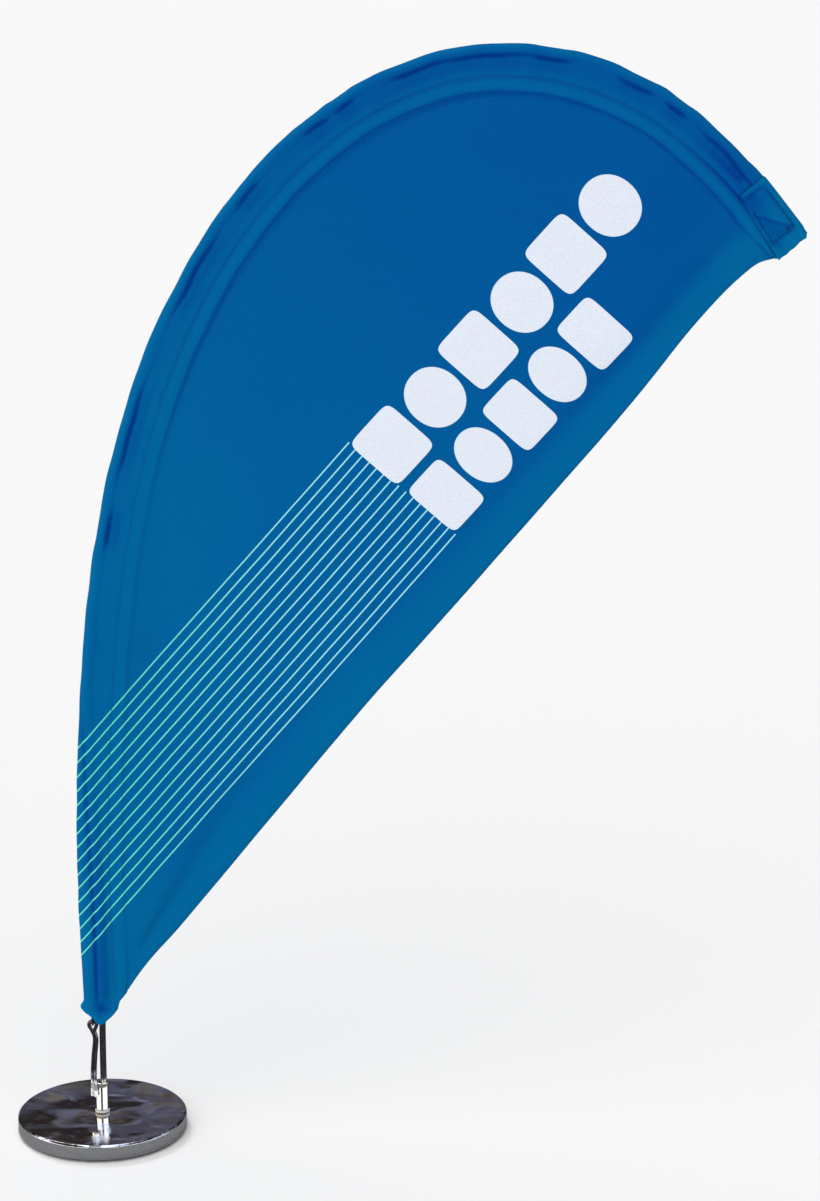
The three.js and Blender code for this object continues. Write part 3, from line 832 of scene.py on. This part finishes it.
class Graph:
    """A node tree, with short ways to add the nodes that the materials share."""

    def __init__(self, tree):
        self.tree = tree

    def node(self, kind, inputs=(), output=0, **settings):
        made = self.tree.nodes.new(kind)
        for key, value in settings.items():
            setattr(made, key, value)
        for key, value in dict(inputs).items():
            self.feed(made.inputs[key], value)
        return made.outputs[output]

    def feed(self, socket, value):
        if isinstance(value, bpy.types.NodeSocket):
            self.tree.links.new(value, socket)
        else:
            socket.default_value = value

    def math(self, operation, a, b=0.0, clamp=False):
        return self.node("ShaderNodeMath", {0: a, 1: b}, operation=operation, use_clamp=clamp)

    def add(self, *terms):
        return reduce(partial(self.math, "ADD"), terms)

    def times(self, *factors):
        return reduce(partial(self.math, "MULTIPLY"), factors)

    def less(self, a, b):
        return self.math("SUBTRACT", a, b)

    def size(self, value):
        return self.math("ABSOLUTE", value)

    def wave(self, value, period):
        return self.math("SINE", self.times(value, 2 * pi / period))

    def smooth(self, value, low, high, start=0.0, end=1.0):
        inputs = {"Value": value, "From Min": low, "From Max": high, "To Min": start, "To Max": end}
        return self.node("ShaderNodeMapRange", inputs, interpolation_type="SMOOTHSTEP")

    def noise(self, vector, scale, detail=2.0, roughness=0.5, distortion=0.0):
        inputs = {"Vector": vector, "Scale": scale, "Detail": detail, "Roughness": roughness}
        return self.node("ShaderNodeTexNoise", {**inputs, "Distortion": distortion})

    def mix(self, share, a, b):
        return self.node("ShaderNodeMix", {0: share, 6: a, 7: b}, output=2, data_type="RGBA")

    def position(self):
        """The place on the piece, in millimetres, as (vector, x, y, z)."""
        vector = self.node("ShaderNodeTexCoord", output=3)
        scaled = self.node("ShaderNodeVectorMath", {0: vector, 3: 1 / MM}, operation="SCALE")
        return (scaled, *self.parts(scaled))

    def parts(self, vector):
        split = self.tree.nodes.new("ShaderNodeSeparateXYZ")
        self.tree.links.new(vector, split.inputs[0])
        return split.outputs[:3]

    def stretched(self, vector, x, y, z):
        return self.node("ShaderNodeVectorMath", {0: vector, 1: (x, y, z)}, operation="MULTIPLY")

    def across(self, x, z, start, angle):
        """How far a place is to the lower right of a slanting line."""
        from_x, from_z = self.less(x, start[0]), self.less(z, start[1])
        return self.add(self.times(from_x, sin(angle)), self.times(from_z, -cos(angle)))


def linear(red, green, blue):
    """An 8-bit display colour as a linear one."""
    channels = [value / 255 for value in (red, green, blue)]
    return (*[v / 12.92 if v <= 0.04045 else ((v + 0.055) / 1.055) ** 2.4 for v in channels], 1.0)


class Finish(Graph):
    """The node graph of a new material, with values set on its shader."""

    def __init__(self, name, **values):
        self.material = bpy.data.materials.new(name)
        self.material.use_nodes = True
        super().__init__(self.material.node_tree)
        self.shader = self.tree.nodes["Principled BSDF"]
        for key, value in values.items():
            self.shader.inputs[key.replace("_", " ")].default_value = value

    def made(self, colour, roughness, height, distance, strength):
        """The material, once its colour, its roughness and the relief for its bumps are fed in."""
        relief = {"Height": height, "Distance": distance * MM, "Strength": strength}
        fed = {"Base Color": colour, "Roughness": roughness, "Normal": self.node("ShaderNodeBump", relief)}
        for key, value in fed.items():
            self.feed(self.shader.inputs[key], value)
        return self.material


# ---- cloth and its print, in millimetres

PRINT_ANGLE = radians(48.3)
PRINT_ORIGIN = (113.5, 254.3)  # the lower left corner of the first row of blocks
ROWS = [  # start, lowest side, height, pitch and number of blocks
    (0.0, 0.0, 23.8, 23.6, 6),
    (0.7, -27.6, 23.8, 20.2, 5),
]
BLOCK_GAP = 2.4
SQUARE_POWER, DISC_POWER = 8.0, 2.1  # the superellipses that the blocks are
LINE_COUNT = 16
# The first and the last of the printed lines: a place on each, and its slant.
FIRST_LINE = ((-4.9, 155.4), radians(48.9))
LAST_LINE = ((-6.7, 71.4), radians(49.3))
LINE_HALF_WIDTH = 0.25
FREE_EDGE_ANGLE = radians(50.7)
KNIT_PITCH = 0.72
INK = linear(236, 243, 255)
MINT = linear(110, 232, 205)
PALE_LINE = linear(168, 240, 255)


def block_row(g, u, v, start, low, height, pitch, count):
    """A mask of solid shapes in a row: rounded squares and discs, by turns."""
    run = g.math("DIVIDE", g.less(u, start), pitch)
    index = g.math("FLOOR", run)
    aside = g.size(g.times(g.less(g.math("FRACT", run), 0.5), 2 * pitch / (pitch - BLOCK_GAP)))
    up = g.size(g.times(g.less(v, low + height / 2), 2 / height))
    power = g.less(SQUARE_POWER, g.times(SQUARE_POWER - DISC_POWER, g.math("MODULO", g.size(index), 2.0)))
    mask = g.smooth(g.add(g.math("POWER", aside, power), g.math("POWER", up, power)), 1.0, 0.95)
    return g.times(mask, g.math("GREATER_THAN", index, -0.5), g.math("LESS_THAN", index, count - 0.5))


def printed(g, x, z):
    """The print's mask and colour."""
    u = g.across(x, z, PRINT_ORIGIN, PRINT_ANGLE + pi / 2)
    v = g.times(g.across(x, z, PRINT_ORIGIN, PRINT_ANGLE), -1.0)
    blocks = g.math("MAXIMUM", *[block_row(g, u, v, *row) for row in ROWS])
    first, last = (g.across(x, z, *line) for line in (FIRST_LINE, LAST_LINE))
    spread = g.less(first, last)
    place = g.times(g.math("DIVIDE", first, spread), LINE_COUNT - 1.0)
    nearest = g.math("ROUND", place)
    off = g.times(g.size(g.less(place, nearest)), spread, 1 / (LINE_COUNT - 1))
    lines = g.times(
        g.smooth(off, LINE_HALF_WIDTH + 0.06, LINE_HALF_WIDTH - 0.06),
        g.math("GREATER_THAN", nearest, -0.5), g.math("LESS_THAN", nearest, LINE_COUNT - 0.5),
        g.smooth(u, 2.0, 1.8),
    )
    line_ink = g.mix(g.smooth(x, 0, 105), MINT, PALE_LINE)
    return g.math("MAXIMUM", blocks, lines), g.mix(blocks, line_ink, INK)


def cloth_material(name, ribbed):
    """Dyed knitted cloth. A ribbed one has wales along the sleeve's run; a plain one has a fine mesh."""
    sheen = {"Sheen_Weight": 0.03, "Sheen_Roughness": 0.5, "Sheen_Tint": (0.0, 0.45, 1.0, 1.0)}
    g = Finish(name, Specular_IOR_Level=0.02, **sheen)
    vector, x, _, z = g.position()
    across = g.add(g.times(x, 0.7), g.times(z, 0.7))
    base = g.mix(g.smooth(across, 410, 130), linear(0, 84, 158), linear(0, 106, 162))
    patches = g.smooth(g.noise(vector, 0.018, 3), 0.35, 0.65, 0.0, 0.5)
    base = g.mix(patches, base, linear(0, 94, 160))
    # painted highlight: a lighter band along the free edge, where its roll catches the light
    from_free = g.across(x, z, FREE_EDGE[-2], FREE_EDGE_ANGLE)
    base = g.mix(g.times(0.6, g.smooth(from_free, -18, -3)), base, linear(0, 107, 160))
    heather = g.smooth(g.noise(g.stretched(vector, 1.6, 1.6, 4.0), 0.9, 3), 0.3, 0.7, 0.0, 0.35)
    base = g.mix(heather, base, linear(0, 90, 152))
    # painted shade and painted highlight from the mesh's shade attribute: above 0 it darkens the cloth's
    # colour, below 0 it lightens it
    painted_shading = g.node("ShaderNodeAttribute", output=2, attribute_name="painted_shading")
    base = g.mix(g.math("MULTIPLY", 0.9, painted_shading, clamp=True), base, linear(0, 58, 146))
    base = g.mix(g.math("MULTIPLY", -0.75, painted_shading, clamp=True), base, linear(0, 112, 164))
    mask, ink = printed(g, x, z)
    thin = g.times(g.smooth(g.noise(vector, 1.1, 2), 0.2, 0.75, 0.955, 1.0), mask)
    behind = g.parts(g.node("ShaderNodeTexCoord", output=1))[1]  # how much the surface faces the back
    show = g.less(1.0, g.times(0.3, g.smooth(behind, 0.0, 0.3)))
    colour = g.mix(g.times(thin, show), base, ink)
    wales, courses = g.wave(x, KNIT_PITCH), g.wave(z, KNIT_PITCH)
    if ribbed:
        weave = g.add(g.times(wales, courses, 0.5), g.times(g.noise(vector, 1.3, 3), 1.2))
    else:
        weave = g.add(g.times(wales, 0.15), g.times(courses, 0.6), g.times(g.noise(vector, 1.4, 2), 0.9))
    depth = g.smooth(weave, -0.8, 1.8, 0.93, 1.05)
    colour = g.node("ShaderNodeVectorMath", {0: colour, 3: depth}, operation="SCALE")
    return g.made(colour, g.smooth(g.noise(vector, 0.4, 2), 0.2, 0.8, 0.72, 0.86), weave, 0.05, 0.55)


def thread_material():
    g = Finish("thread", Specular_IOR_Level=0.1)
    vector, *places = g.position()
    colour = g.mix(g.noise(vector, 3.0, 2), linear(0, 86, 152), linear(0, 104, 164))
    twist = g.wave(g.add(*places), 0.16)
    return g.made(colour, g.smooth(twist, -1, 1, 0.5, 0.65), twist, 0.02, 0.5)


def elastic_material():
    g = Finish("elastic_braid", Specular_IOR_Level=0.25, Sheen_Weight=0.15)
    vector, _, y, z = g.position()
    braid = g.times(g.wave(g.add(z, y), 0.5), g.wave(g.less(z, y), 0.5))
    colour = g.mix(g.smooth(braid, -1, 1), linear(2, 20, 46), linear(8, 40, 78))
    return g.made(colour, g.smooth(g.noise(vector, 2.0), 0.3, 0.7, 0.7, 0.85), braid, 0.06, 0.8)


# ---- metal, rubber and plastic


def chrome_material():
    """Bright plating on polished steel: slow waves, a satin wall, a nicked corner, smears and scratches, and
    warm and cool casts on the smears that are painted reflection.
    """
    g = Finish("chrome_plating", Metallic=1.0)
    vector, x, y, z = g.position()
    waves = g.noise(vector, 0.05, 1)
    ripples = g.noise(vector, 0.35, 1)
    scratches = g.noise(g.stretched(vector, 0.25, 5.0, 0.4), 2.2, 2)
    radius = g.math("SQRT", g.add(g.times(x, x), g.times(y, y)))
    wall = g.smooth(radius, DISC_RADIUS - 0.25, DISC_RADIUS - 0.1)
    wall = g.times(wall, g.smooth(z, DISC_TOP, DISC_TOP - 1.2))
    above_wall = g.less(1.0, wall)
    brushed = g.noise(g.stretched(vector, 0.14, 0.14, 6.0), 1.0, 2)
    smears = g.noise(g.stretched(vector, 0.7, 1.1, 1.0), 0.075, 2, 0.5, 1.6)
    bands = g.noise(g.stretched(vector, 0.6, 1.5, 1.0), 0.05, 1, 0.5, 0.7)
    dull = g.math("MAXIMUM", g.smooth(smears, 0.5, 0.8, 0.02, 0.38), g.smooth(bands, 0.47, 0.7, 0.02, 0.2))
    rough = g.add(g.times(dull, above_wall), g.times(wall, g.smooth(brushed, 0.2, 0.8, 0.2, 0.3)))
    # painted reflection: brownish and bluish casts that follow the smears stand in for a coloured room seen
    # in the plating
    tint = g.mix(g.smooth(smears, 0.35, 0.7), linear(208, 202, 188), linear(204, 210, 238))
    tint = g.mix(wall, tint, linear(216, 217, 219))
    corner = g.times(g.smooth(radius, DISC_RADIUS - 0.85, DISC_RADIUS - 0.7), above_wall)
    nicks = g.smooth(g.noise(vector, 0.21, 2, 0.6), 0.46, 0.56)
    tint = g.mix(g.times(corner, nicks), tint, linear(96, 98, 100))
    height = g.add(g.times(waves, 0.5), g.times(ripples, 0.008), g.times(brushed, wall, 0.002))
    return g.made(tint, rough, g.add(height, g.times(scratches, 0.001)), 0.9, 1.0)


def wire_material():
    """Dark nickel plating with drawing marks and worn spots. Below z 21.5, round the hook's brazed feet, it
    is painted near-white: a painted highlight.
    """
    g = Finish("dark_nickel", Metallic=1.0)
    vector, _, _, z = g.position()
    drawn = g.noise(g.stretched(vector, 6.0, 6.0, 0.4), 1.2, 3)
    worn = g.smooth(g.noise(vector, 0.5, 3), 0.55, 0.75)
    colour = g.mix(worn, linear(84, 83, 92), linear(112, 112, 118))
    # painted highlight: the wire below z 21.5 is made near-white, on the hook's feet and the rod just above
    # the post
    colour = g.mix(g.smooth(z, 21.5, 19.5), colour, linear(232, 232, 230))
    return g.made(colour, g.smooth(drawn, 0.3, 0.7, 0.16, 0.3), drawn, 0.03, 0.35)


def steel_material():
    g = Finish("machined_steel", Metallic=1.0)
    vector, x, y, _ = g.position()
    turning = g.wave(g.math("SQRT", g.add(g.times(x, x), g.times(y, y))), 0.22)
    patches = g.noise(vector, 0.8, 3)
    colour = g.mix(patches, linear(120, 120, 124), linear(160, 159, 158))
    return g.made(colour, g.smooth(patches, 0.3, 0.7, 0.28, 0.45), turning, 0.02, 0.5)


def moulded_material(name, dark, light, roughness, grain):
    """Rubber or plastic with a fine moulded grain and rubbed patches."""
    g = Finish(name, Specular_IOR_Level=0.4)
    vector = g.position()[0]
    rubbed = g.noise(vector, 0.12, 3)
    rough = g.smooth(rubbed, 0.3, 0.7, roughness - 0.08, roughness + 0.06)
    return g.made(g.mix(rubbed, dark, light), rough, g.noise(vector, 3.2, 2), grain, 0.6)


# ---- the stage

PALE = 0.915  # the photographed background's brightness
LOOKING_DOWN, LENS = 15.23, 101.26  # the camera's pitch in degrees and its focal length in mm
CAMERA_PLACE = (0.11898, -1.2096, 0.5411)


def studio_world():
    """Soft light from all round, brighter from the upper left front; gloss mirrors a dim room with two
    tall soft boxes beside the camera and one overhead."""
    world = bpy.data.worlds.new("studio")
    bpy.context.scene.world = world
    world.use_nodes = True
    g = Graph(world.node_tree)
    direction = g.node("ShaderNodeTexCoord", output=0)
    x, y, z = g.parts(direction)
    key = g.math("MAXIMUM", g.add(g.times(x, -0.52), g.times(y, -0.55), g.times(z, 0.65)), 0.0)
    soft = g.add(0.5, g.times(0.95, key, key))
    elevation = g.math("ARCSINE", z)
    aside = g.size(g.math("ARCTAN2", x, g.times(y, -1.0)))
    boxes = g.times(
        g.smooth(aside, radians(13), radians(17)), g.smooth(aside, radians(112), radians(96)),
        g.smooth(elevation, radians(-2), radians(2)), g.smooth(elevation, radians(47), radians(40)),
    )
    overhead = g.times(g.smooth(elevation, radians(60), radians(66)), g.smooth(y, 0.45, 0.2))
    streaks = g.noise(g.stretched(direction, 22.0, 22.0, 46.0), 1.0, 1, 0.5, 0.6)
    hue = g.noise(g.stretched(direction, 16.0, 16.0, 30.0), 1.7, 1)
    glow = g.mix(g.smooth(hue, 0.4, 0.6), (0.21, 0.185, 0.15, 1), (0.18, 0.19, 0.28, 1))
    room = g.mix(g.smooth(streaks, 0.4, 0.72), (0.034, 0.028, 0.03, 1), glow)
    mirrored = g.mix(g.math("MAXIMUM", boxes, overhead), room, (2.6, 2.65, 2.7, 1))
    path = g.tree.nodes.new("ShaderNodeLightPath")
    soft = g.node("ShaderNodeCombineColor", {0: soft, 1: soft, 2: soft})
    seen = g.mix(path.outputs["Is Glossy Ray"], soft, mirrored)
    seen = g.mix(path.outputs["Is Camera Ray"], seen, (PALE, PALE, PALE, 1))
    background = g.tree.nodes["Background"]
    g.feed(background.inputs["Color"], seen)


def floor():
    """A wide pale floor, which polished metal sees as a dim table."""
    reach = 30.0
    corners = [(-reach, -reach, 0), (reach, -reach, 0), (reach, reach, 0), (-reach, reach, 0)]
    mesh = bpy.data.meshes.new("floor")
    mesh.from_pydata(corners, [], [(0, 1, 2, 3)])
    g = Finish("pale_floor", Roughness=0.95, Specular_IOR_Level=0.0)
    path = g.tree.nodes.new("ShaderNodeLightPath")
    colour = g.mix(path.outputs["Is Glossy Ray"], (0.93, 0.93, 0.93, 1), (0.26, 0.262, 0.268, 1))
    g.feed(g.shader.inputs["Base Color"], colour)
    mesh.materials.append(g.material)
    linked("floor", mesh)


def base_shadow_light(blockers):
    """A soft light from behind, above and to the left, whose only shadow is the base's."""
    sun = linked("shadow_light", bpy.data.lights.new("shadow_light", "SUN"))
    sun.data.energy, sun.data.angle = 0.75, radians(16)
    sun.data.specular_factor = 0.0
    sun.rotation_euler = Vector((-0.3, 0.5, 0.8)).to_track_quat("Z", "Y").to_euler()
    casting = bpy.data.collections.new("casts_base_shadow")
    for piece in blockers:
        casting.objects.link(piece)
    sun.light_linking.blocker_collection = casting


def camera():
    """The photo's camera, as solved from the disc's ellipse."""
    made = linked("camera", bpy.data.cameras.new("camera"))
    made.data.sensor_width, made.data.lens = 36.0, LENS
    made.data.clip_start, made.data.clip_end = 0.05, 100.0
    made.location = CAMERA_PLACE
    made.rotation_euler = (radians(90 - LOOKING_DOWN), 0, 0)
    bpy.context.scene.camera = made


# ---- assembly


def place(piece, body, slot, material, *nodes):
    piece.data.materials.clear()
    piece.data.materials.append(material)
    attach(piece, body)
    if nodes:
        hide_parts(*nodes)
    return piece


camera()
studio_world()
floor()
bpy.context.scene.view_settings.view_transform = "Standard"

chrome, nickel, steel = chrome_material(), wire_material(), steel_material()
rubber = moulded_material("foot_rubber", linear(22, 22, 24), linear(38, 38, 40), 0.82, 0.08)
nylon = moulded_material("natural_nylon", linear(206, 205, 198), linear(226, 225, 218), 0.45, 0.03)
black = moulded_material("black_plastic", linear(14, 14, 16), linear(28, 28, 30), 0.5, 0.04)
plain, ribbed = cloth_material("printed_cloth", False), cloth_material("sleeve_cloth", True)
thread, elastic = thread_material(), elastic_material()

disc, pad, screw, washer = base_pieces()
place(disc, "base", "polished_chrome", chrome, "base_disc")
place(pad, "base", "pad_rubber", rubber, "base_pad")
place(screw, "base", "screw_steel", steel, "spindle_screw")
place(washer, "swivel", "nylon", nylon, "thrust_washer")
place(post_piece(), "flag", "polished_chrome", chrome, "pole_post")
place(rod_piece(), "flag", "bright_wire", nickel, "pole_rod")
place(hook_piece(), "flag", "bright_wire", nickel, "hook_wire")
place(cap_piece(), "flag", "cap_plastic", black, "rod_cap")
place(loop_piece(), "flag", "elastic", elastic, "tension_loop")

base_shadow_light([disc, pad])

panel = place(panel_piece(), "flag", "printed_cloth", plain, "flag_panel")
sleeve = place(sleeve_piece(), "flag", "sleeve_cloth", ribbed, "pole_sleeve")
ridge = place(seam_ridge_piece(), "flag", "sleeve_cloth", ribbed, "seam_binding")
pocket = place(tip_piece(), "flag", "sleeve_cloth", ribbed, "tip_pocket")
tab = place(tab_piece(), "flag", "sleeve_cloth", ribbed, "corner_tab")
seam_thread = place(seam_stitch_piece(), "flag", "sleeve_cloth", thread)
tip_thread = place(tip_stitch_piece(), "flag", "sleeve_cloth", thread)
tab_thread = place(tab_stitch_piece(), "flag", "sleeve_cloth", thread)
